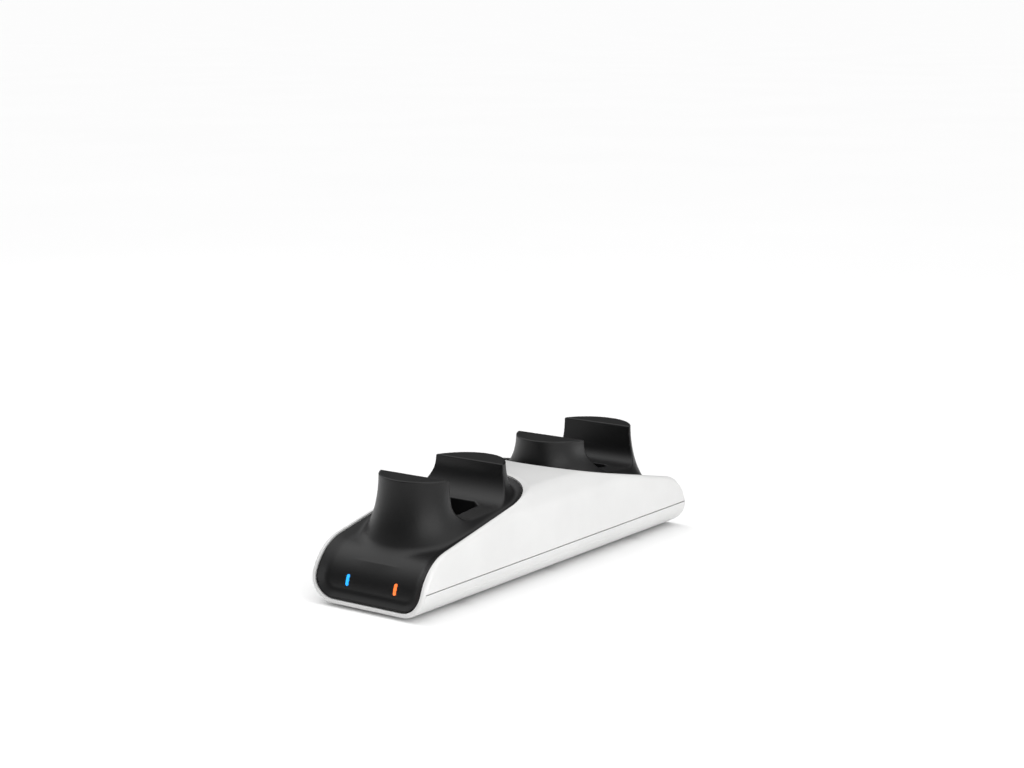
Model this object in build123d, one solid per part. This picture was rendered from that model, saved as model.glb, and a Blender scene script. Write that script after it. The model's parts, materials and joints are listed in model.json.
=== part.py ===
from build123d import *
import os
from math import atan, cos, radians, sin, tan

# Two-bay charging dock for hand-held game controllers, in millimetres.
# +X is to the right, +Y runs from the front bay to the rear bay, +Z is up.
# The origin is the middle of the footprint, on the surface that the feet stand on.

# Body
WIDTH = 57.4
LENGTH = 194.6
BASE_Z = 1.1
BRIDGE_L = 17.0
CROWN_R = 130.0
SHOULDER_R = 9.0
CORNER_R = 11.3
WALL = 2.0
RIM_ROUND = 1.5
SEAM_Z = 11.7
SEAM_GAP = 0.45
BAND_W = 1.0
BAND_GAP = 0.06

# Roofline seen from the side: a round nose, then a straight incline up to the crest
NOSE_R = 20.4
NOSE_Z = 5.7
INCLINE_DEG = 12.0

# Lap ribs of the lower housing behind the seam
LAP_T = 1.0
LAP_RISE = 1.6
LAP_ROOT = 4.0
LAP_CLEAR = 0.1
LAP_END_GAP = 22.3

# Cradle insert of each bay
CRADLE_GAP = 0.4
CRADLE_DROP = 0.3
BORDER_LAND = 0.4
BEVEL_W = 3.8
LOW_BEVEL_W = 2.3
BEVEL_D = 2.2
BEVEL_OVER = 1.0
CORNER_LAND = 0.25
CRADLE_T = 2.0
SKIRT = 8.0

# Tower of the cradle, with flanks that sweep out along quarter ellipses
TOWER_TOP_Z = 49.9
TOWER_R = 19.0
TOWER_BACK_R = 23.4
TOWER_SETBACK = 38.8
TOWER_SPAN = 19.5
TOWER_ROUND = 0.6
FLARE_SPREAD = 12.0
FLARE_BACK_SPREAD = 2.6
FLARE_SINK = 1.9
FLARE_DROP_SLOPE = 0.235
FLARE_SWEEP_DEG = 76.0
FLARE_STEPS = 6
FLARE_INSET = 0.8

# Channel across the tower
CHANNEL_OUTER_RUN = 7.0
CHANNEL_INNER_RUN = 9.2
CHANNEL_FLOOR_Z = 33.1
CHANNEL_RISE_DEG = 5.2
CHANNEL_OUTER_R = 8.0
CHANNEL_INNER_R = 12.0

# Pocket in the channel floor
POCKET_W = 27.0
POCKET_L = 18.5
POCKET_BACK = 10.3
POCKET_CUT_X = 3.8
POCKET_CUT_Y = 2.5
POCKET_FLOOR_Z = 22.0

# Circuit board on the lower housing
BOARD_W = 34.0
BOARD_T = 1.6
BOARD_FRONT_SETBACK = 12.3
BOARD_REAR_SETBACK = 7.3
BOARD_CORNER_R = 2.0
STANDOFF_H = 5.7
STANDOFF_D = 5.0
BOARD_SCREW_X = 13.0
BOARD_SCREW_SETBACK = 29.3

# Sprung charging contacts in each pocket
PIN_X = 4.0
TIP_D = 1.4
TIP_SHOW = 1.6
COLLAR_D = 1.9
COLLAR_L = 2.4
BARREL_D = 2.8
BARREL_BASE_T = 0.6
BARREL_LIP_T = 0.5
PIN_CLEAR = 0.05
TIP_HOLE_CLEAR = 0.2
STOP_CLEAR = 0.05
SPRING_WIRE = 0.3
SPRING_TURNS = 4
SPRING_CLEAR = 0.1
BLOCK_W = 14.0
BLOCK_L = 7.0
BLOCK_ROUND = 1.0
SEAT_CLEAR = 0.02

# Status lights at the front
LIGHT_X = 12.0
LIGHT_Z = 11.0
LIGHT_W = 1.3
LIGHT_H = 4.4
LIGHT_CLEAR = 0.3
LIGHT_RECESS = 0.15
LIGHT_BACK_GAP = 0.2
LED_W = 3.0
LED_L = 1.6
LED_H = 1.4

# Power inlet at the rear
INLET_W = 8.94
INLET_H = 3.26
INLET_L = 7.3
INLET_T = 0.35
INLET_BACK_T = 1.6
INLET_SETBACK = 4.9
INLET_CLEAR = 0.4
BLADE_W = 6.7
BLADE_T = 0.7
BLADE_SETBACK = 0.9

# Charging circuit parts on the board
CHIP_SIZE = 5.0
CHIP_H = 0.9
CHIP_BEVEL = 0.15
CHIP_Y = 26.0
COIL_SIZE = 6.0
COIL_H = 3.0
COIL_ROUND = 1.2
COIL_Y = 16.0

# Screws and their posts
POST_D = 6.4
POST_TOP_Z = 13.0
CASE_POST_X = 21.0
CRADLE_POST_X = 21.2
CRADLE_POST_SETBACK = 34.3
SCREW_D = 2.5
SCREW_HEAD_D = 4.4
SCREW_HEAD_H = 1.6
SCREW_BITE = 7.0
SCREW_SEAT_Z = 8.0
SCREW_TIP_GAP = 0.5
HEAD_CLEAR = 0.15
BOARD_SCREW_D = 2.0
BOARD_HEAD_D = 3.8
BOARD_HEAD_H = 1.2
BOARD_SCREW_L = 5.0
DRIVE_W = 0.7
DRIVE_L = 2.4
DRIVE_DEPTH = 0.7

# Rubber feet
FOOT_D = 11.0
FOOT_X = 12.0
FOOT_SETBACK = 17.3
FOOT_SINK = 1.0
FOOT_BEVEL = 0.4
FOOT_CLEAR = 0.05

# Cutting bodies reach this far past the dock
REACH = 60.0
TOUCH = 0.01

incline = radians(INCLINE_DEG)
nose_y = LENGTH / 2 - NOSE_R
tower_outer_y = LENGTH / 2 - TOWER_SETBACK
tower_inner_y = tower_outer_y - TOWER_SPAN
pocket_y = tower_outer_y - POCKET_BACK
board_front_y = LENGTH / 2 - BOARD_FRONT_SETBACK
board_rear_y = LENGTH / 2 - BOARD_REAR_SETBACK
inlet_face_y = LENGTH / 2 - INLET_SETBACK
floor_z = BASE_Z + WALL
board_z = floor_z + STANDOFF_H
board_top_z = board_z + BOARD_T
pocket_under_z = POCKET_FLOOR_Z - CRADLE_T
screw_top_z = POST_TOP_Z + SCREW_BITE
cradle_inset = WALL + CRADLE_GAP
panel_drop = CRADLE_DROP + BEVEL_D


def roof_z(distance):
    """Height of the incline at a distance from the dock's middle."""
    top_y = nose_y + NOSE_R * sin(incline)
    top_z = NOSE_Z + NOSE_R * cos(incline)
    return top_z + (top_y - distance) * tan(incline)


bay_arc_y = BRIDGE_L / 2 + WIDTH / 2
crest_z = roof_z(BRIDGE_L / 2)


def front_half_profile(drop):
    """Side view of the front half, its roofline lowered square to itself."""
    radius = NOSE_R - drop
    start = (-nose_y - radius, NOSE_Z)
    half_turn = radians(45 - INCLINE_DEG / 2)
    middle = (-nose_y - radius * cos(half_turn), NOSE_Z + radius * sin(half_turn))
    end = (-nose_y - radius * sin(incline), NOSE_Z + radius * cos(incline))
    peak = (0, roof_z(0) - drop / cos(incline))
    with BuildSketch(Plane.YZ) as profile:
        with BuildLine():
            Polyline(peak, (0, -REACH), (start[0], -REACH), start)
            ThreePointArc(start, middle, end)
            Line(end, peak)
        make_face()
    return profile.sketch


def under_roof(drop):
    """Everything under the front half's roofline, lowered by a distance."""
    return extrude(front_half_profile(drop), REACH, both=True)


def body_section(inset):
    """Cross-section of the body, with rounded corners and a crowned top."""
    with BuildSketch(Plane.XZ) as section:
        with Locations((0, BASE_Z + inset + REACH / 2)):
            Rectangle(WIDTH - 2 * inset, REACH)
        with Locations((0, crest_z - CROWN_R)):
            Circle(CROWN_R - inset, mode=Mode.INTERSECT)
        fillet(section.vertices().sort_by(Axis.Y)[-2:], SHOULDER_R - inset)
        fillet(section.vertices().sort_by(Axis.Y)[:2], CORNER_R - inset)
    return section.sketch


def bay_prism(inset):
    """Space of the front bay: rounded below at the front, a half circle in plan behind."""
    half_width = WIDTH / 2 - inset
    with BuildSketch(Plane.XZ) as front_view:
        with Locations((0, BASE_Z + inset + REACH)):
            Rectangle(2 * half_width, 2 * REACH)
        fillet(front_view.vertices().sort_by(Axis.Y)[:2], CORNER_R - inset)
    with BuildSketch(Plane.XY) as plan:
        with Locations((0, -bay_arc_y)):
            Circle(half_width)
        with Locations((0, -bay_arc_y - REACH)):
            Rectangle(2 * half_width, 2 * REACH)
    return extrude(front_view.sketch, LENGTH, both=True) & extrude(plan.sketch, LENGTH, both=True)


def runs_along(edge, axis):
    """True for a straight edge parallel to an axis."""
    return edge.geom_type == GeomType.LINE and edge.tangent_at(0).cross(axis.direction).length < TOUCH


def body_shell():
    """Whole sleeve: a tube cut by the roofline, with rounded rims and two bay openings."""
    front = under_roof(0)
    loaf = extrude(body_section(0), LENGTH, both=True) & (front + mirror(front, about=Plane.XZ))
    rims = []
    for edge in loaf.edges():
        roof_crease = runs_along(edge, Axis.X) and edge.center().Z > floor_z
        if not runs_along(edge, Axis.Y) and not roof_crease:
            rims.append(edge)
    tube = fillet(rims, RIM_ROUND) - extrude(body_section(WALL), LENGTH, both=True)
    opening = bay_prism(WALL)
    return tube - opening - mirror(opening, about=Plane.XZ)


def slab(low_z, high_z):
    """Flat slice of space between two heights."""
    return Pos(0, 0, (low_z + high_z) / 2) * Box(2 * LENGTH, 2 * LENGTH, high_z - low_z)


def post(place, low_z, high_z, diameter):
    """Upright cylinder between two heights."""
    x, y = place
    return Pos(x, y, (low_z + high_z) / 2) * Cylinder(diameter / 2, high_z - low_z)


def case_post_places():
    return [(side * CASE_POST_X, 0) for side in (-1, 1)]


def cradle_post_places(end):
    post_y = LENGTH / 2 - CRADLE_POST_SETBACK
    return [(side * CRADLE_POST_X, end * post_y) for side in (-1, 1)]


def board_screw_places():
    screw_y = LENGTH / 2 - BOARD_SCREW_SETBACK
    return [(sx * BOARD_SCREW_X, sy * screw_y) for sx in (-1, 1) for sy in (-1, 1)]


def foot_places():
    foot_y = LENGTH / 2 - FOOT_SETBACK
    return {
        "front_left_foot": (-FOOT_X, -foot_y),
        "front_right_foot": (FOOT_X, -foot_y),
        "rear_left_foot": (-FOOT_X, foot_y),
        "rear_right_foot": (FOOT_X, foot_y),
    }


def within_bands(drop):
    """Everything between the two end bands, which follow the roofline."""
    front = under_roof(drop)
    return front + mirror(front, about=Plane.XZ)


def upper_housing(shell):
    """Sleeve above the seam with both end bands, and a screw post under each side of the bridge."""
    housing = shell - (slab(-REACH, SEAM_Z + SEAM_GAP / 2) & within_bands(BAND_W))
    room = extrude(body_section(WALL / 2), LENGTH, both=True)
    for place in case_post_places():
        housing += post(place, POST_TOP_Z, crest_z, POST_D) & room
        housing -= post(place, POST_TOP_Z, screw_top_z + SCREW_TIP_GAP, SCREW_D + 2 * SEAT_CLEAR)
    return housing


def lap_rib():
    """Rib on the right wall that stands behind the seam and keeps the two housings in line."""
    wall_x = WIDTH / 2 - WALL
    inner_x = wall_x - LAP_CLEAR - LAP_T
    seam_low = SEAM_Z - SEAM_GAP / 2
    outline = [
        (inner_x, seam_low - LAP_ROOT),
        (wall_x + WALL / 2, seam_low - LAP_ROOT),
        (wall_x + WALL / 2, seam_low),
        (wall_x - LAP_CLEAR, seam_low),
        (wall_x - LAP_CLEAR, seam_low + LAP_RISE),
        (inner_x, seam_low + LAP_RISE),
    ]
    with BuildSketch(Plane.XZ) as section:
        with BuildLine():
            Polyline(*outline, close=True)
        make_face()
    return extrude(section.sketch, LENGTH / 2 - LAP_END_GAP, both=True)


def lower_housing(shell):
    """Tray below the seam, with lap ribs, standoffs, screw posts and foot recesses."""
    housing = shell & slab(-REACH, SEAM_Z - SEAM_GAP / 2) & within_bands(BAND_W + BAND_GAP)
    rib = lap_rib()
    housing = housing + rib + mirror(rib, about=Plane.YZ)
    room = extrude(body_section(WALL / 2), LENGTH, both=True)
    for place in case_post_places() + cradle_post_places(-1) + cradle_post_places(1):
        housing += post(place, 0, POST_TOP_Z, POST_D) & room
        housing -= post(place, -REACH, SCREW_SEAT_Z, SCREW_HEAD_D + 2 * HEAD_CLEAR)
        housing -= post(place, 0, 2 * POST_TOP_Z, SCREW_D + 2 * SEAT_CLEAR)
    hole_z = board_top_z - BOARD_SCREW_L - SCREW_TIP_GAP
    for place in board_screw_places():
        housing += post(place, 0, board_z, STANDOFF_D) & room
        housing -= post(place, hole_z, board_top_z, BOARD_SCREW_D + 2 * SEAT_CLEAR)
    for place in foot_places().values():
        housing -= post(place, 0, BASE_Z + FOOT_SINK, FOOT_D + 2 * FOOT_CLEAR)
    return housing


def tower_outline(level, tilt, side, back):
    """Outline of the tower on a tilted plane: round in front, a longer half oval behind."""
    outer_y = -tower_outer_y / cos(tilt)
    inner_y = -tower_inner_y / cos(tilt)
    with BuildSketch(Plane((0, 0, level), (1, 0, 0), (0, -sin(tilt), cos(tilt)))) as outline:
        with BuildLine():
            Line((side, outer_y), (side, inner_y))
            EllipticalCenterArc((0, inner_y), side, back / cos(tilt), 0, arc_size=180)
            Line((-side, inner_y), (-side, outer_y))
            EllipticalCenterArc((0, outer_y), side, side / cos(tilt), 180, arc_size=180)
        make_face()
    return outline.sketch


def tower():
    """Oval tower whose flanks sweep out towards a foot that slopes with the panel."""
    middle_drop = TOWER_TOP_Z - crest_z + FLARE_SINK
    outlines = []
    for step in range(FLARE_STEPS + 1):
        sweep = radians(FLARE_SWEEP_DEG * step / FLARE_STEPS)
        tilt = atan(FLARE_DROP_SLOPE * sin(sweep))
        side = TOWER_R + FLARE_SPREAD * (1 - cos(sweep))
        back = TOWER_BACK_R + FLARE_BACK_SPREAD * (1 - cos(sweep))
        outlines.append(tower_outline(TOWER_TOP_Z - middle_drop * sin(sweep), tilt, side, back))
    return loft(outlines)


def channel(grow):
    """Rounded trough across the tower, grown by a wall thickness."""
    rise = tan(radians(CHANNEL_RISE_DEG))
    outer_z = CHANNEL_FLOOR_Z - CHANNEL_OUTER_RUN * rise - grow
    inner_z = CHANNEL_FLOOR_Z + (TOWER_SPAN + CHANNEL_INNER_RUN) * rise - grow
    outer_y = -tower_outer_y - CHANNEL_OUTER_RUN - grow
    inner_y = -tower_inner_y + CHANNEL_INNER_RUN + grow
    corners = [(outer_y, 2 * REACH), (outer_y, outer_z), (inner_y, inner_z), (inner_y, 2 * REACH)]
    with BuildSketch(Plane.YZ) as profile:
        with BuildLine():
            FilletPolyline(*corners, radius=[CHANNEL_OUTER_R + grow, CHANNEL_INNER_R + grow])
            Line(corners[-1], corners[0])
        make_face()
    return extrude(profile.sketch, REACH, both=True)


def pocket(grow):
    """Pocket with cut corners that takes the controller's charging adapter."""
    half_w = POCKET_W / 2 + grow
    half_l = POCKET_L / 2 + grow
    quarter = [(half_w, half_l - POCKET_CUT_Y), (half_w - POCKET_CUT_X, half_l)]
    outline = quarter + [(-x, y) for x, y in reversed(quarter)]
    outline += [(-x, -y) for x, y in outline]
    with BuildSketch(Plane((0, -pocket_y, POCKET_FLOOR_Z - grow))) as plan:
        with BuildLine():
            Polyline(*outline, close=True)
        make_face()
    return extrude(plan.sketch, REACH)


def cut_tower():
    """Tower parted by its channel, with softened edges."""
    parted = tower() - channel(0)
    soft = []
    for face in parted.faces().filter_by(lambda f: f.geom_type in (GeomType.PLANE, GeomType.CYLINDER)):
        underside = face.normal_at().Z < -TOUCH
        for edge in face.edges():
            in_channel = runs_along(edge, Axis.X) and edge.center().Z < TOWER_TOP_Z - TOUCH
            if not underside and not in_channel and edge not in soft:
                soft.append(edge)
    return fillet(soft, TOWER_ROUND)


def recess_half_width(depth):
    """Half the recess's width at a depth under the roofline: it narrows down the bevel."""
    return WIDTH / 2 - cradle_inset - BORDER_LAND - (depth - CRADLE_DROP) * BEVEL_W / BEVEL_D


def recess_section(plane):
    """Cross-section of the recess on a plane whose second axis points out of the roof."""
    top = (recess_half_width(-BEVEL_OVER), BEVEL_OVER)
    low = (recess_half_width(panel_drop), -panel_drop)
    with BuildSketch(plane) as section:
        with BuildLine():
            Polyline(top, low, (-low[0], low[1]), (-top[0], top[1]), close=True)
        make_face()
    return section.sketch


def above_low_bevel():
    """Space over the bevel along the front panel's lower edge."""
    out_y = -LENGTH / 2 - BEVEL_OVER
    in_y = -LENGTH / 2 + panel_drop
    in_z = BASE_Z + cradle_inset + BORDER_LAND + LOW_BEVEL_W
    out_z = in_z - (panel_drop + BEVEL_OVER) * LOW_BEVEL_W / BEVEL_D
    with BuildSketch(Plane.YZ) as side_view:
        with BuildLine():
            Polyline((out_y, out_z), (in_y, in_z), (0, in_z), (0, REACH), (out_y, REACH), close=True)
        make_face()
    return extrude(side_view.sketch, REACH, both=True)


def nose_recess():
    """Recess over the front and the nose, with a low bevel and rounded lower corners."""
    section = recess_section(Plane((0, -LENGTH / 2, NOSE_Z), (1, 0, 0), (0, 0, -1)))
    nose_axis = Axis((0, -nose_y, NOSE_Z), (-1, 0, 0))
    recess = extrude(section, REACH) + revolve(section, nose_axis, 90 - INCLINE_DEG)
    return recess & above_low_bevel() & bay_prism(cradle_inset + CORNER_LAND)


def incline_recess():
    """Straight recess up the incline."""
    start_y = nose_y + NOSE_R * sin(incline)
    run = (start_y - bay_arc_y) / cos(incline)
    down_slope = (0, -cos(incline), -sin(incline))
    section = recess_section(Plane((0, -start_y, roof_z(start_y)), (1, 0, 0), down_slope))
    return extrude(section, -run)


def end_recess():
    """Round upper end of the recess."""
    height = panel_drop + BEVEL_OVER
    cone = Cone(recess_half_width(panel_drop), recess_half_width(-BEVEL_OVER), height)
    roof = Plane((0, -bay_arc_y, roof_z(bay_arc_y)), (1, 0, 0), (0, -sin(incline), cos(incline)))
    return roof * Pos(0, 0, BEVEL_OVER - height / 2) * cone


def cradle_hollow():
    """Space inside the front cradle's walls."""
    oval = tower_outline(0, 0, TOWER_R - CRADLE_T, TOWER_BACK_R - CRADLE_T)
    hollow = under_roof(panel_drop + CRADLE_T) + extrude(oval, TOWER_TOP_Z - CRADLE_T)
    hollow = hollow & bay_prism(cradle_inset + CRADLE_T)
    return hollow - channel(CRADLE_T) - pocket(CRADLE_T)


def cradle():
    """Front cradle: bevelled border, sunk panel, parted tower and pocket, hollow from below."""
    block = under_roof(CRADLE_DROP) & bay_prism(cradle_inset)
    for recess in (nose_recess(), incline_recess(), end_recess()):
        block -= recess
    block += cut_tower() & bay_prism(cradle_inset + FLARE_INSET)
    block -= pocket(0)
    below_skirt = under_roof(CRADLE_DROP + SKIRT) - pocket(CRADLE_T)
    shell = block - below_skirt - cradle_hollow()
    for place in cradle_post_places(-1):
        shell += post(place, POST_TOP_Z, TOWER_TOP_Z, POST_D) & block
        shell -= post(place, POST_TOP_Z, screw_top_z + SCREW_TIP_GAP, SCREW_D + 2 * SEAT_CLEAR)
    for place in pin_places(-1):
        shell -= post(place, 0, POCKET_FLOOR_Z + CRADLE_T, TIP_D + 2 * TIP_HOLE_CLEAR)
    return shell


def light_prism(side, grow):
    """Upright pill shape of a status light, run forward from the dock's middle."""
    with BuildSketch(Plane.XZ) as pill:
        with Locations((side * LIGHT_X, LIGHT_Z)):
            SlotOverall(LIGHT_H + 2 * grow, LIGHT_W + 2 * grow, rotation=90)
    return extrude(pill.sketch, LENGTH)


def light_pipe(side):
    """Clear pipe from a lamp on the board to its slot in the front panel."""
    ahead = Pos(0, -board_front_y - LIGHT_BACK_GAP - LENGTH, 0) * Box(WIDTH, 2 * LENGTH, 2 * REACH)
    behind_panel = under_roof(panel_drop + LIGHT_RECESS)
    return light_prism(side, 0) & ahead & behind_panel


def front_cradle(blank):
    """Front cradle with its two light slots."""
    for side in (-1, 1):
        blank -= light_prism(side, LIGHT_CLEAR)
    return blank


def inlet_pill(grow, low_y, high_y):
    """Rounded bar of the power inlet's outline between two distances."""
    width = INLET_W + 2 * grow
    height = INLET_H + 2 * grow
    with BuildSketch(Plane.XZ.offset(-high_y)) as pill:
        with Locations((0, board_top_z + INLET_H / 2)):
            SlotOverall(width, height)
    return extrude(pill.sketch, high_y - low_y)


def rear_cradle(blank):
    """Rear cradle with the opening for the power inlet."""
    return mirror(blank, about=Plane.XZ) - inlet_pill(INLET_CLEAR, board_front_y, LENGTH)


def inlet_shell():
    """Metal shell of the power inlet, open at the rear."""
    back_y = inlet_face_y - INLET_L
    return inlet_pill(0, back_y, inlet_face_y) - inlet_pill(-INLET_T, back_y, inlet_face_y)


def inlet_core():
    """Moulded core that closes the inlet shell and carries the contact blade."""
    back_y = inlet_face_y - INLET_L
    core = inlet_pill(-INLET_T, back_y, back_y + INLET_BACK_T)
    blade_l = INLET_L - BLADE_SETBACK
    blade = Pos(0, back_y + blade_l / 2, board_top_z + INLET_H / 2) * Box(BLADE_W, blade_l, BLADE_T)
    return core + blade


def main_board():
    """Circuit board with screw holes."""
    middle_y = (board_rear_y - board_front_y) / 2
    with BuildSketch(Plane.XY.offset(board_z)) as plan:
        with Locations((0, middle_y)):
            RectangleRounded(BOARD_W, board_front_y + board_rear_y, BOARD_CORNER_R)
        with Locations(*board_screw_places()):
            Circle(BOARD_SCREW_D / 2 + SEAT_CLEAR, mode=Mode.SUBTRACT)
    return extrude(plan.sketch, BOARD_T)


def pin_places(end):
    return [(side * PIN_X, end * pocket_y) for side in (-1, 1)]


def contact_block(end):
    """Block under a pocket that holds the contact barrels."""
    with BuildSketch(Plane.XY.offset(board_top_z)) as plan:
        with Locations((0, end * pocket_y)):
            RectangleRounded(BLOCK_W, BLOCK_L, BLOCK_ROUND)
        with Locations(*pin_places(end)):
            Circle(BARREL_D / 2 + SEAT_CLEAR, mode=Mode.SUBTRACT)
    return extrude(plan.sketch, pocket_under_z - board_top_z)


def pin_barrel(place):
    """Turned barrel with a closed foot and a lip that keeps the plunger in."""
    bore_d = COLLAR_D + 2 * PIN_CLEAR
    barrel = post(place, board_top_z, pocket_under_z, BARREL_D)
    barrel -= post(place, board_top_z + BARREL_BASE_T, pocket_under_z - BARREL_LIP_T, bore_d)
    return barrel - post(place, pocket_under_z - BARREL_LIP_T, pocket_under_z, TIP_D + 2 * PIN_CLEAR)


collar_top_z = pocket_under_z - BARREL_LIP_T - STOP_CLEAR
collar_low_z = collar_top_z - COLLAR_L


def pin_plunger(place):
    """Plunger with a collar below and a domed tip that stands in the pocket."""
    x, y = place
    tip_r = TIP_D / 2
    dome_z = POCKET_FLOOR_Z + TIP_SHOW - tip_r
    plunger = post(place, collar_low_z, collar_top_z, COLLAR_D)
    plunger += post(place, collar_top_z, dome_z, TIP_D)
    return plunger + Pos(x, y, dome_z) * Sphere(tip_r)


def pin_spring(place):
    """Coil spring between the barrel's foot and the plunger's collar."""
    x, y = place
    low_z = board_top_z + BARREL_BASE_T + SPRING_WIRE / 2
    height = collar_low_z - SPRING_WIRE / 2 - low_z
    coil_r = COLLAR_D / 2 + PIN_CLEAR - SPRING_CLEAR - SPRING_WIRE / 2
    path = Helix(height / SPRING_TURNS, height, coil_r)
    wire = Plane(path @ 0, z_dir=path % 0) * Rectangle(SPRING_WIRE, SPRING_WIRE)
    return Pos(x, y, low_z) * sweep(wire, path=path, is_frenet=True)


def lamp(side):
    """Side-lit lamp on the front edge of the board."""
    center = (side * LIGHT_X, LED_L / 2 - board_front_y, board_top_z + LED_H / 2)
    body = Pos(*center) * Box(LED_W, LED_L, LED_H)
    return chamfer(body.edges().filter_by(Axis.X).group_by(Axis.Y)[-1], LED_H / 4)


def charge_chip(end):
    """Charge controller chip of one bay."""
    body = Pos(0, end * CHIP_Y, board_top_z + CHIP_H / 2) * Box(CHIP_SIZE, CHIP_SIZE, CHIP_H)
    return chamfer(body.faces().sort_by(Axis.Z)[-1].edges(), CHIP_BEVEL)


def power_coil(end):
    """Moulded power coil of one bay."""
    with BuildSketch(Plane.XY.offset(board_top_z)) as plan:
        with Locations((0, end * COIL_Y)):
            RectangleRounded(COIL_SIZE, COIL_SIZE, COIL_ROUND)
    return extrude(plan.sketch, COIL_H)


def drive_slots(place, face_z):
    """Cross recess in a screw head, cut upwards from its face."""
    x, y = place
    bar = Box(DRIVE_L, DRIVE_W, 2 * DRIVE_DEPTH)
    return Pos(x, y, face_z) * (bar + Rot(0, 0, 90) * bar)


def housing_screw(place):
    """Screw driven up from below through a post of the lower housing."""
    head_z = SCREW_SEAT_Z - SCREW_HEAD_H
    screw = post(place, head_z, SCREW_SEAT_Z, SCREW_HEAD_D) + post(place, SCREW_SEAT_Z, screw_top_z, SCREW_D)
    return screw - drive_slots(place, head_z)


def board_screw(place):
    """Screw driven down through the board into its standoff."""
    head_z = board_top_z + BOARD_HEAD_H
    screw = post(place, board_top_z, head_z, BOARD_HEAD_D)
    screw += post(place, board_top_z - BOARD_SCREW_L, board_top_z, BOARD_SCREW_D)
    return screw - drive_slots(place, head_z)


def foot(place):
    """Round rubber pad in its recess."""
    pad = post(place, 0, BASE_Z + FOOT_SINK, FOOT_D)
    return chamfer(pad.edges().group_by(Axis.Z)[0], FOOT_BEVEL)


def build_nodes():
    """Every sub-part under its node name."""
    shell = body_shell()
    blank = cradle()
    nodes = {
        "upper_housing": upper_housing(shell),
        "lower_housing": lower_housing(shell),
        "front_cradle": front_cradle(blank),
        "rear_cradle": rear_cradle(blank),
        "main_board": main_board(),
        "power_inlet_shell": inlet_shell(),
        "power_inlet_core": inlet_core(),
        "left_lamp": lamp(-1),
        "right_lamp": lamp(1),
        "left_light_pipe": light_pipe(-1),
        "right_light_pipe": light_pipe(1),
        "case_screws": Compound(children=[housing_screw(place) for place in case_post_places()]),
        "board_screws": Compound(children=[board_screw(place) for place in board_screw_places()]),
    }
    cradle_posts = cradle_post_places(-1) + cradle_post_places(1)
    nodes["cradle_screws"] = Compound(children=[housing_screw(place) for place in cradle_posts])
    for bay, end in (("front", -1), ("rear", 1)):
        nodes[f"{bay}_contact_block"] = contact_block(end)
        nodes[f"{bay}_charge_chip"] = charge_chip(end)
        nodes[f"{bay}_power_coil"] = power_coil(end)
        for side, place in zip(("left", "right"), pin_places(end)):
            nodes[f"{bay}_{side}_pin_barrel"] = pin_barrel(place)
            nodes[f"{bay}_{side}_pin_plunger"] = pin_plunger(place)
            nodes[f"{bay}_{side}_pin_spring"] = pin_spring(place)
    for name, place in foot_places().items():
        nodes[name] = foot(place)
    return nodes


def main():
    os.makedirs("parts", exist_ok=True)
    for name, shape in build_nodes().items():
        export_step(shape, f"parts/{name}.step")


main()
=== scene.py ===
import json
from itertools import product
from math import cos, radians, sin, tan

import bpy
import numpy as np
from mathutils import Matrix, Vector


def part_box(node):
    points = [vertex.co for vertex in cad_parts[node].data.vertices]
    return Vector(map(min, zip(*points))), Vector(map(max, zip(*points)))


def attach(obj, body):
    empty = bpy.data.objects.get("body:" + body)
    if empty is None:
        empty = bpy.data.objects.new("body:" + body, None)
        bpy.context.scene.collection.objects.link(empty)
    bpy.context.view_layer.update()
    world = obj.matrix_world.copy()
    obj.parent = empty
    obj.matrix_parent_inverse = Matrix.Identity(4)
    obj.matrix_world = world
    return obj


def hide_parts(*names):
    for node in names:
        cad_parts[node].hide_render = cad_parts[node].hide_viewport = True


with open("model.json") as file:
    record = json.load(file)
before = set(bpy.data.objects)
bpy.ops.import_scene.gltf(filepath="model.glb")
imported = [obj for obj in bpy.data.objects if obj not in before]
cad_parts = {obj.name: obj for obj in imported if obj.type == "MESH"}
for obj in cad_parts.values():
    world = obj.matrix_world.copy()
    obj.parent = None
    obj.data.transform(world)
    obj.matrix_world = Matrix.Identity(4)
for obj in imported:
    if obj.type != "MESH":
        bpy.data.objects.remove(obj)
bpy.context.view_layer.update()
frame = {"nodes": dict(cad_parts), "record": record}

# Camera, as solved from the photograph, in metres
CAMERA_PLACE = (0.5155, -0.7151, 0.2396)
CAMERA_AIM = (-0.5747, 0.7980, -0.1815)
CAMERA_LENS = 74.87
SENSOR_WIDTH = 36.0

# Studio: world brightness by direction, what the lights aim at, and the floor
HORIZON_LIGHT = 0.04
OVERHEAD_LIGHT = 2.15
HEIGHT_SPAN = (0.05, 0.95)
ENDS_SHARE = 0.13
ENDS_SPAN = (0.1, 0.85)
LIGHT_AIM = (0.0, 0.0, 0.03)
FLOOR_REACH = 60.0

# Materials: noise scales per metre, and depth of the grain in metres
NOISE_SPAN = (0.3, 0.7)
MOULDED_CLOUD = 60
MOULDED_GRAIN = 5200
MOULDED_DEPTH = 0.00002
METAL_CLOUD = 900
METAL_DEPTH = 0.00001
METAL_GRAIN = 0.2
PIPE_CLOUD = 700
PIPE_ROUGH = (0.18, 0.26)
PIPE_GLOW = 0.7
FLOOR_CLOUD = 3

# Body and bay that the cradles fit, in millimetres
WIDTH = 57.4
LENGTH = 194.6
BASE_Z = 1.1
BRIDGE_L = 17.0
CORNER_R = 11.3
NOSE_R = 20.4
NOSE_Z = 5.7
INCLINE = radians(12.0)

# Cradle: border, bevel and sunk panel
CRADLE_INSET = 2.4
CRADLE_DROP = 0.3
BORDER_LAND = 0.4
BEVEL_W = 3.8
LOW_BEVEL_W = 2.3
LOW_BEVEL_FADE = 10.0
BEVEL_D = 2.2
BEVEL_SOFT = 0.35
CRADLE_T = 2.0
SKIRT = 8.0

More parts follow.
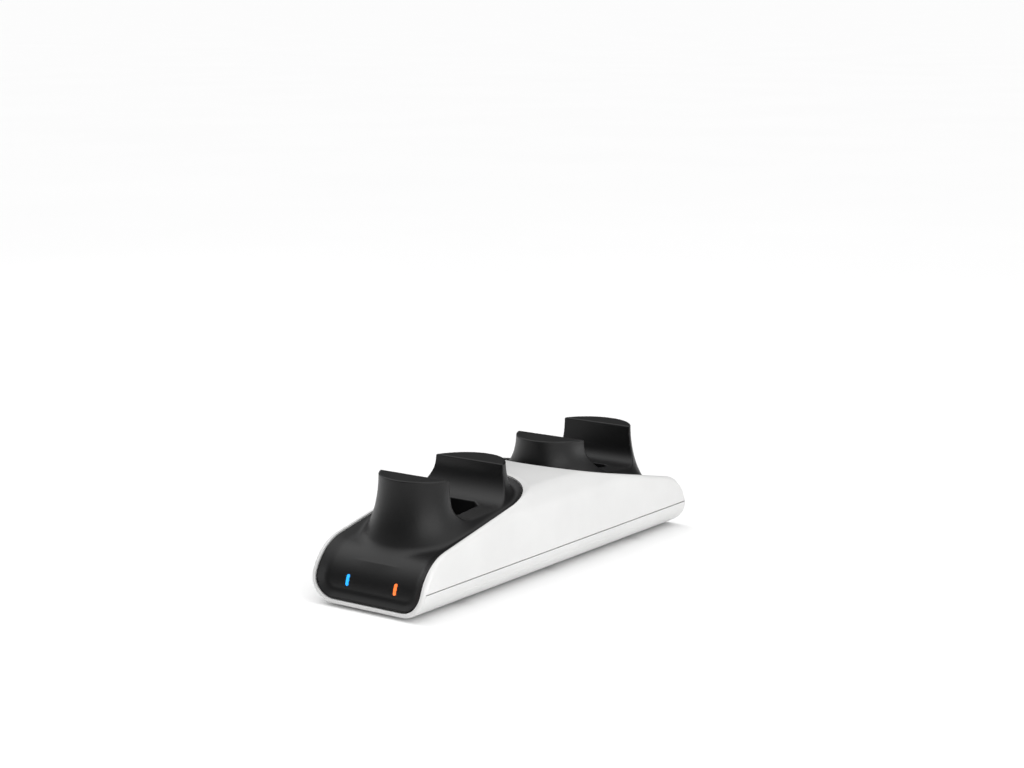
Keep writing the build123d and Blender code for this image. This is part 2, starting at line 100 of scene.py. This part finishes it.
# Cradle: tower, its swept flanks and its blend into the panel
TOWER_TOP_Z = 49.9
TOWER_R = 19.0
TOWER_BACK_R = 23.4
TOWER_OUTER_Y = 58.5
TOWER_INNER_Y = 39.0
TOWER_ROUND = 0.6
FLARE_SPREAD = 12.0
FLARE_BACK_SPREAD = 2.6
FLARE_MIDDLE_DROP = 10.7
FLARE_DROP_SLOPE = 0.235
FLARE_STEEPEST = sin(radians(80.0))
FLARE_INSET = 0.8
FLARE_BLEND = 2.0

# Cradle: channel, pocket and contact holes
CHANNEL_OUTER_Y = 65.5
CHANNEL_INNER_Y = 29.8
CHANNEL_FLOOR_Z = 33.1
CHANNEL_RISE = radians(5.2)
CHANNEL_OUTER_R = 8.0
CHANNEL_INNER_R = 12.0
POCKET_W = 27.0
POCKET_L = 18.5
POCKET_Y = 48.2
POCKET_CUT_X = 3.8
POCKET_CUT_Y = 2.5
POCKET_FLOOR_Z = 22.0
POCKET_ROUND = 0.3
PIN_X = 4.0
PIN_HOLE_R = 0.9

# Cradle: openings in the end panels
PANEL_Y = 80.0
LIGHT_X = 12.0
LIGHT_Z = 11.0
LIGHT_SLOT_W = 1.9
LIGHT_SLOT_H = 5.0
INLET_Z = 12.03
INLET_SLOT_W = 9.74
INLET_SLOT_H = 4.06

# Mesh of the cradles
NET_STEP = 0.5
NET_MARGIN = 1.5
NORMAL_STEP = 0.05
NEWTON_STEPS = 4
MM = 0.001

bay_arc_y = BRIDGE_L / 2 + WIDTH / 2


def make_camera():
    data = bpy.data.cameras.new("camera")
    data.lens = CAMERA_LENS
    data.sensor_fit = "HORIZONTAL"
    data.sensor_width = SENSOR_WIDTH
    camera = bpy.data.objects.new("camera", data)
    camera.location = CAMERA_PLACE
    camera.rotation_mode = "QUATERNION"
    camera.rotation_quaternion = Vector(CAMERA_AIM).to_track_quat("-Z", "Y")
    bpy.context.scene.collection.objects.link(camera)
    bpy.context.scene.camera = camera


def make_light(name, place, width, height, power):
    data = bpy.data.lights.new(name, "AREA")
    data.shape = "RECTANGLE"
    data.size = width
    data.size_y = height
    data.energy = power
    light = bpy.data.objects.new(name, data)
    light.location = place
    light.rotation_mode = "QUATERNION"
    light.rotation_quaternion = (Vector(LIGHT_AIM) - Vector(place)).to_track_quat("-Z", "Y")
    bpy.context.scene.collection.objects.link(light)


def make_world():
    """White studio: bright overhead, dimmer towards the horizon and dimmest to the front and back."""
    world = bpy.data.worlds.new("studio")
    world.use_nodes = True
    tree = world.node_tree
    place = tree.nodes.new("ShaderNodeTexCoord")
    split = tree.nodes.new("ShaderNodeSeparateXYZ")
    tree.links.new(place.outputs["Generated"], split.inputs["Vector"])
    height = add_range(tree, split.outputs["Z"], HORIZON_LIGHT, OVERHEAD_LIGHT, HEIGHT_SPAN)
    depth = add_math(tree, "ABSOLUTE", split.outputs["Y"])
    share = add_range(tree, depth, 1.0, ENDS_SHARE, ENDS_SPAN)
    tree.links.new(add_math(tree, "MULTIPLY", height, share), tree.nodes["Background"].inputs["Strength"])
    tree.nodes["Background"].inputs["Color"].default_value = (1.0, 1.0, 1.0, 1.0)
    bpy.context.scene.world = world


def new_material(name):
    material = bpy.data.materials.new(name)
    material.use_nodes = True
    return material, material.node_tree, material.node_tree.nodes["Principled BSDF"]


def add_noise(tree, scale, detail):
    place = tree.nodes.new("ShaderNodeTexCoord")
    noise = tree.nodes.new("ShaderNodeTexNoise")
    noise.inputs["Scale"].default_value = scale
    noise.inputs["Detail"].default_value = detail
    tree.links.new(place.outputs["Object"], noise.inputs["Vector"])
    return noise.outputs["Fac"]


def add_ramp(tree, factor, low, high):
    ramp = tree.nodes.new("ShaderNodeValToRGB")
    for element, position, colour in zip(ramp.color_ramp.elements, NOISE_SPAN, (low, high)):
        element.position = position
        element.color = (*colour, 1)
    tree.links.new(factor, ramp.inputs["Fac"])
    return ramp.outputs["Color"]


def add_math(tree, operation, *values):
    step = tree.nodes.new("ShaderNodeMath")
    step.operation = operation
    for value, socket in zip(values, step.inputs):
        tree.links.new(value, socket)
    return step.outputs["Value"]


def add_range(tree, factor, low, high, span_from=NOISE_SPAN):
    span = tree.nodes.new("ShaderNodeMapRange")
    span.interpolation_type = "SMOOTHSTEP"
    span.inputs["From Min"].default_value = span_from[0]
    span.inputs["From Max"].default_value = span_from[1]
    span.inputs["To Min"].default_value = low
    span.inputs["To Max"].default_value = high
    tree.links.new(factor, span.inputs["Value"])
    return span.outputs["Result"]


def add_bump(tree, shader, height, distance, strength):
    bump = tree.nodes.new("ShaderNodeBump")
    bump.inputs["Distance"].default_value = distance
    bump.inputs["Strength"].default_value = strength
    tree.links.new(height, bump.inputs["Height"])
    tree.links.new(bump.outputs["Normal"], shader.inputs["Normal"])


def moulded(name, low, high, rough, grain, specular=0.5):
    """Moulded plastic: slight colour and gloss variation and a fine grain."""
    material, tree, shader = new_material(name)
    broad = add_noise(tree, MOULDED_CLOUD, 3)
    fine = add_noise(tree, MOULDED_GRAIN, 2)
    tree.links.new(add_ramp(tree, broad, low, high), shader.inputs["Base Color"])
    tree.links.new(add_range(tree, fine, *rough), shader.inputs["Roughness"])
    add_bump(tree, shader, fine, MOULDED_DEPTH, grain)
    shader.inputs["Specular IOR Level"].default_value = specular
    return material


def metal(name, low, high, rough):
    """Plated metal with a faint cloudiness."""
    material, tree, shader = new_material(name)
    broad = add_noise(tree, METAL_CLOUD, 4)
    tree.links.new(add_ramp(tree, broad, low, high), shader.inputs["Base Color"])
    tree.links.new(add_range(tree, broad, *rough), shader.inputs["Roughness"])
    add_bump(tree, shader, broad, METAL_DEPTH, METAL_GRAIN)
    shader.inputs["Metallic"].default_value = 1.0
    return material


def glowing(name, low, high):
    """Clear light pipe lit from behind."""
    material, tree, shader = new_material(name)
    broad = add_noise(tree, PIPE_CLOUD, 2)
    colour = add_ramp(tree, broad, low, high)
    tree.links.new(colour, shader.inputs["Base Color"])
    tree.links.new(colour, shader.inputs["Emission Color"])
    tree.links.new(add_range(tree, broad, *PIPE_ROUGH), shader.inputs["Roughness"])
    shader.inputs["Emission Strength"].default_value = PIPE_GLOW
    return material


MATERIALS = {
    "white_shell": moulded("white_shell", (0.635, 0.635, 0.63), (0.665, 0.665, 0.66), (0.30, 0.38), 0.25),
    "black_insert": moulded(
        "black_insert", (0.004, 0.004, 0.0042), (0.0055, 0.0055, 0.0057), (0.35, 0.45), 0.5, 0.3
    ),
    "board": moulded("board", (0.01, 0.09, 0.045), (0.015, 0.13, 0.06), (0.3, 0.4), 0.2),
    "inner_plastic": moulded("inner_plastic", (0.018, 0.018, 0.02), (0.026, 0.026, 0.028), (0.4, 0.5), 0.4),
    "lamp": moulded("lamp", (0.72, 0.72, 0.66), (0.8, 0.8, 0.74), (0.2, 0.3), 0.1),
    "chip": moulded("chip", (0.012, 0.012, 0.012), (0.02, 0.02, 0.02), (0.5, 0.6), 0.5),
    "ferrite": moulded("ferrite", (0.05, 0.05, 0.052), (0.07, 0.07, 0.072), (0.5, 0.65), 0.6),
    "foot_rubber": moulded("foot_rubber", (0.02, 0.02, 0.02), (0.032, 0.032, 0.032), (0.7, 0.85), 0.8, 0.3),
    "bright_metal": metal("bright_metal", (0.6, 0.6, 0.61), (0.7, 0.7, 0.71), (0.22, 0.34)),
    "screw_steel": metal("screw_steel", (0.4, 0.4, 0.41), (0.5, 0.5, 0.51), (0.25, 0.4)),
    "spring_steel": metal("spring_steel", (0.42, 0.42, 0.43), (0.52, 0.52, 0.53), (0.2, 0.3)),
    "contact_gold": metal("contact_gold", (0.78, 0.53, 0.2), (0.86, 0.62, 0.26), (0.16, 0.26)),
    "blue_light": glowing("blue_light", (0.02, 0.34, 1.0), (0.03, 0.4, 1.0)),
    "orange_light": glowing("orange_light", (1.0, 0.17, 0.04), (1.0, 0.22, 0.05)),
}


def dress(piece, slot):
    piece.data.materials.clear()
    piece.data.materials.append(MATERIALS[slot])


# Signed distances in millimetres, negative inside, of the front cradle's shapes

def soft_join(a, b, width):
    """Union of two shapes, blended where their distances are within a width."""
    blend = np.maximum(width - np.abs(a - b), 0) / width
    return np.minimum(a, b) - blend * blend * width / 4


def round_meet(a, b, radius):
    """Intersection of two shapes with its edge rounded."""
    corner = np.hypot(np.maximum(a + radius, 0), np.maximum(b + radius, 0))
    return np.minimum(np.maximum(a, b), -radius) + corner


def roof_gap(y, z):
    """Distance above the roofline: front face, round nose and straight incline."""
    ahead = -y - (LENGTH / 2 - NOSE_R)
    above = z - NOSE_Z
    nose = np.hypot(ahead, above) - NOSE_R
    incline = ahead * sin(INCLINE) + above * cos(INCLINE) - NOSE_R
    on_nose = ahead * cos(INCLINE) > above * sin(INCLINE)
    return np.where(above < 0, ahead - NOSE_R, np.where(on_nose, nose, incline))


def bay_gap(x, y, z, inset):
    """Distance outside the bay's outline, narrowed by an inset."""
    half = WIDTH / 2 - inset
    corner = CORNER_R - inset
    plan = np.where(-y > bay_arc_y, np.abs(x) - half, np.hypot(x, y + bay_arc_y) - half)
    out = np.abs(x) - half + corner
    down = BASE_Z + inset + corner - z
    section = np.hypot(np.maximum(out, 0), np.maximum(down, 0)) - corner
    section += np.minimum(np.maximum(out, down), 0)
    return np.maximum(plan, section)


def bevel_depth(x, y, z):
    """How far the surface lies under the border: down the bevel to the sunk panel."""
    fade = np.clip((z - BASE_Z - CRADLE_INSET) / LOW_BEVEL_FADE, 0, 1)
    width = LOW_BEVEL_W + (BEVEL_W - LOW_BEVEL_W) * fade
    down = -bay_gap(x, y, z, CRADLE_INSET + BORDER_LAND) / width
    return BEVEL_D * np.maximum(soft_join(down, np.ones_like(down), BEVEL_SOFT), 0)


def tower(x, y, z):
    """Oval tower whose flanks sweep out along quarter ellipses."""
    reach = FLARE_MIDDLE_DROP - FLARE_DROP_SLOPE * y
    lean = np.clip((TOWER_TOP_Z - z) / reach, 0, FLARE_STEEPEST)
    upright = np.sqrt(1 - lean * lean)
    side = TOWER_R + FLARE_SPREAD * (1 - upright)
    back = TOWER_BACK_R + FLARE_BACK_SPREAD * (1 - upright)
    ahead = np.minimum(y + TOWER_OUTER_Y, 0)
    behind = np.maximum(y + TOWER_INNER_Y, 0)
    ratio = np.hypot(x / side, behind / back)
    oval = ratio * (ratio - 1) / np.maximum(np.hypot(x / side**2, behind / back**2), MM)
    outline = np.where(behind > 0, oval, np.hypot(x, ahead) - side)
    slope = FLARE_SPREAD / reach * lean / upright
    return round_meet(outline / np.hypot(1, slope), z - TOWER_TOP_Z, TOWER_ROUND)


def channel(y, z):
    """Rounded trough across the tower."""
    floor = (CHANNEL_FLOOR_Z + (y + TOWER_OUTER_Y) * tan(CHANNEL_RISE) - z) * cos(CHANNEL_RISE)
    outer = round_meet(-y - CHANNEL_OUTER_Y, floor, CHANNEL_OUTER_R)
    inner = round_meet(y + CHANNEL_INNER_Y, floor, CHANNEL_INNER_R)
    return np.maximum(outer, inner)


def pocket(x, y, z):
    """Pocket with cut corners."""
    across = np.abs(x) - POCKET_W / 2
    along = np.abs(y + POCKET_Y) - POCKET_L / 2
    corner = across * POCKET_CUT_Y + along * POCKET_CUT_X + POCKET_CUT_X * POCKET_CUT_Y
    corner = corner / np.hypot(POCKET_CUT_X, POCKET_CUT_Y)
    return np.maximum(np.maximum(across, along), np.maximum(corner, POCKET_FLOOR_Z - z))


def pill(u, v, length, width):
    """Bar with round ends, long in u."""
    return np.hypot(np.maximum(np.abs(u) - (length - width) / 2, 0), v) - width / 2


def light_slots(x, z):
    return pill(z - LIGHT_Z, np.abs(x) - LIGHT_X, LIGHT_SLOT_H, LIGHT_SLOT_W)


def inlet_slot(x, z):
    return pill(x, z - INLET_Z, INLET_SLOT_W, INLET_SLOT_H)


def cradle(x, y, z, panel_slot):
    """Cradle shell: border, bevel, panel, parted tower, pocket and an opening in the end panel."""
    roof = roof_gap(y, z)
    well = pocket(x, y, z)
    flared = np.maximum(tower(x, y, z), bay_gap(x, y, z, CRADLE_INSET + FLARE_INSET))
    solid = soft_join(roof + CRADLE_DROP + bevel_depth(x, y, z), flared, FLARE_BLEND)
    solid = round_meet(solid, -channel(y, z), TOWER_ROUND)
    solid = np.maximum(solid, bay_gap(x, y, z, CRADLE_INSET))
    solid = round_meet(solid, -well, POCKET_ROUND)
    shell = np.maximum(solid, -solid - CRADLE_T)
    below_skirt = np.maximum(roof + CRADLE_DROP + SKIRT, CRADLE_T - well)
    shell = np.maximum(shell, -below_skirt)
    shell = np.maximum(shell, -np.maximum(panel_slot(x, z), y + PANEL_Y))
    return np.maximum(shell, PIN_HOLE_R - np.hypot(np.abs(x) - PIN_X, y + POCKET_Y))


def slopes(field, points):
    """Gradient of a field at points, by central differences."""
    parts = []
    for step in np.eye(3) * NORMAL_STEP:
        parts.append((field(*(points + step).T) - field(*(points - step).T)) / (2 * NORMAL_STEP))
    return np.stack(parts, axis=1)


def net_quads(inside, index):
    """Quads that join the cells around every grid edge that crosses the surface."""
    quads = []
    for axis in range(3):
        state = np.moveaxis(inside, axis, 0)[:, 1:-1, 1:-1]
        cell = np.moveaxis(index, axis, 0)
        ring = np.stack([cell[:, :-1, :-1], cell[:, 1:, :-1], cell[:, 1:, 1:], cell[:, :-1, 1:]], axis=-1)
        crossed = state[:-1] != state[1:]
        ring = ring[crossed]
        facing = state[:-1][crossed] != (axis == 1)
        quads.append(np.where(facing[:, None], ring, ring[:, ::-1]))
    return np.concatenate(quads)


def surface_net(field, low, high):
    """Mesh of a field's zero surface: points, quads and normals."""
    axes = [np.arange(a - NET_MARGIN, b + NET_MARGIN, NET_STEP) for a, b in zip(low, high)]
    inside = field(*np.meshgrid(*axes, indexing="ij")) < 0
    count = np.zeros([n - 1 for n in inside.shape], int)
    for i, j, k in product((0, 1), repeat=3):
        count += inside[i:i + count.shape[0], j:j + count.shape[1], k:k + count.shape[2]]
    cells = np.argwhere((count > 0) & (count < 8))
    index = np.zeros(count.shape, int)
    index[tuple(cells.T)] = np.arange(len(cells))
    points = np.array([axis[0] for axis in axes]) + (cells + 0.5) * NET_STEP
    for _ in range(NEWTON_STEPS):
        slope = slopes(field, points)
        shift = field(*points.T) / np.maximum((slope * slope).sum(axis=1), 0.25)
        points -= np.clip(shift[:, None] * slope, -NET_STEP / 2, NET_STEP / 2)
    normals = slopes(field, points)
    normals /= np.linalg.norm(normals, axis=1, keepdims=True)
    return points, net_quads(inside, index), normals


def make_cradle(node, panel_slot, end):
    """Fine mesh of one cradle in place of its CAD node; end is -1 at the front and 1 at the rear."""
    low, high = (np.array(corner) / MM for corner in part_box(node))
    if end > 0:
        low[1], high[1] = -high[1], -low[1]
    points, quads, normals = surface_net(lambda x, y, z: cradle(x, y, z, panel_slot), low, high)
    if end > 0:
        points[:, 1] *= -1
        normals[:, 1] *= -1
        quads = quads[:, ::-1]
    mesh = bpy.data.meshes.new(node + "_fine")
    mesh.from_pydata((points * MM).tolist(), [], quads.tolist())
    mesh.polygons.foreach_set("use_smooth", [True] * len(mesh.polygons))
    mesh.normals_split_custom_set_from_vertices(normals.tolist())
    piece = bpy.data.objects.new(node + "_fine", mesh)
    bpy.context.scene.collection.objects.link(piece)
    dress(piece, "black_insert")
    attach(piece, "dock")
    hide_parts(node)


def make_floor():
    mesh = bpy.data.meshes.new("floor")
    corners = [(x * FLOOR_REACH, y * FLOOR_REACH, 0) for x, y in ((-1, -1), (1, -1), (1, 1), (-1, 1))]
    mesh.from_pydata(corners, [], [(0, 1, 2, 3)])
    floor = bpy.data.objects.new("floor", mesh)
    bpy.context.scene.collection.objects.link(floor)
    material, tree, shader = new_material("floor")
    broad = add_noise(tree, FLOOR_CLOUD, 2)
    pale = add_ramp(tree, broad, (0.915, 0.915, 0.915), (0.925, 0.925, 0.925))
    tree.links.new(pale, shader.inputs["Base Color"])
    tree.links.new(add_range(tree, broad, 0.24, 0.28), shader.inputs["Roughness"])
    shader.inputs["Specular IOR Level"].default_value = 0.0
    mesh.materials.append(material)


make_camera()
make_world()
make_floor()
make_light("left", place=(-0.95, 0.05, 0.3), width=0.4, height=0.5, power=0.5)
make_light("right", place=(1.0, 0.12, 0.1), width=0.5, height=0.14, power=2.6)
make_light("front", place=(0.66, -0.72, 0.35), width=0.8, height=0.3, power=3.4)

slot_of = {part["node"]: part["material_slot"] for part in frame["record"]["subparts"]}
for name, node in frame["nodes"].items():
    dress(node, slot_of[name])

make_cradle("front_cradle", light_slots, -1)
make_cradle("rear_cradle", inlet_slot, 1)

bpy.context.scene.view_settings.view_transform = "Standard"
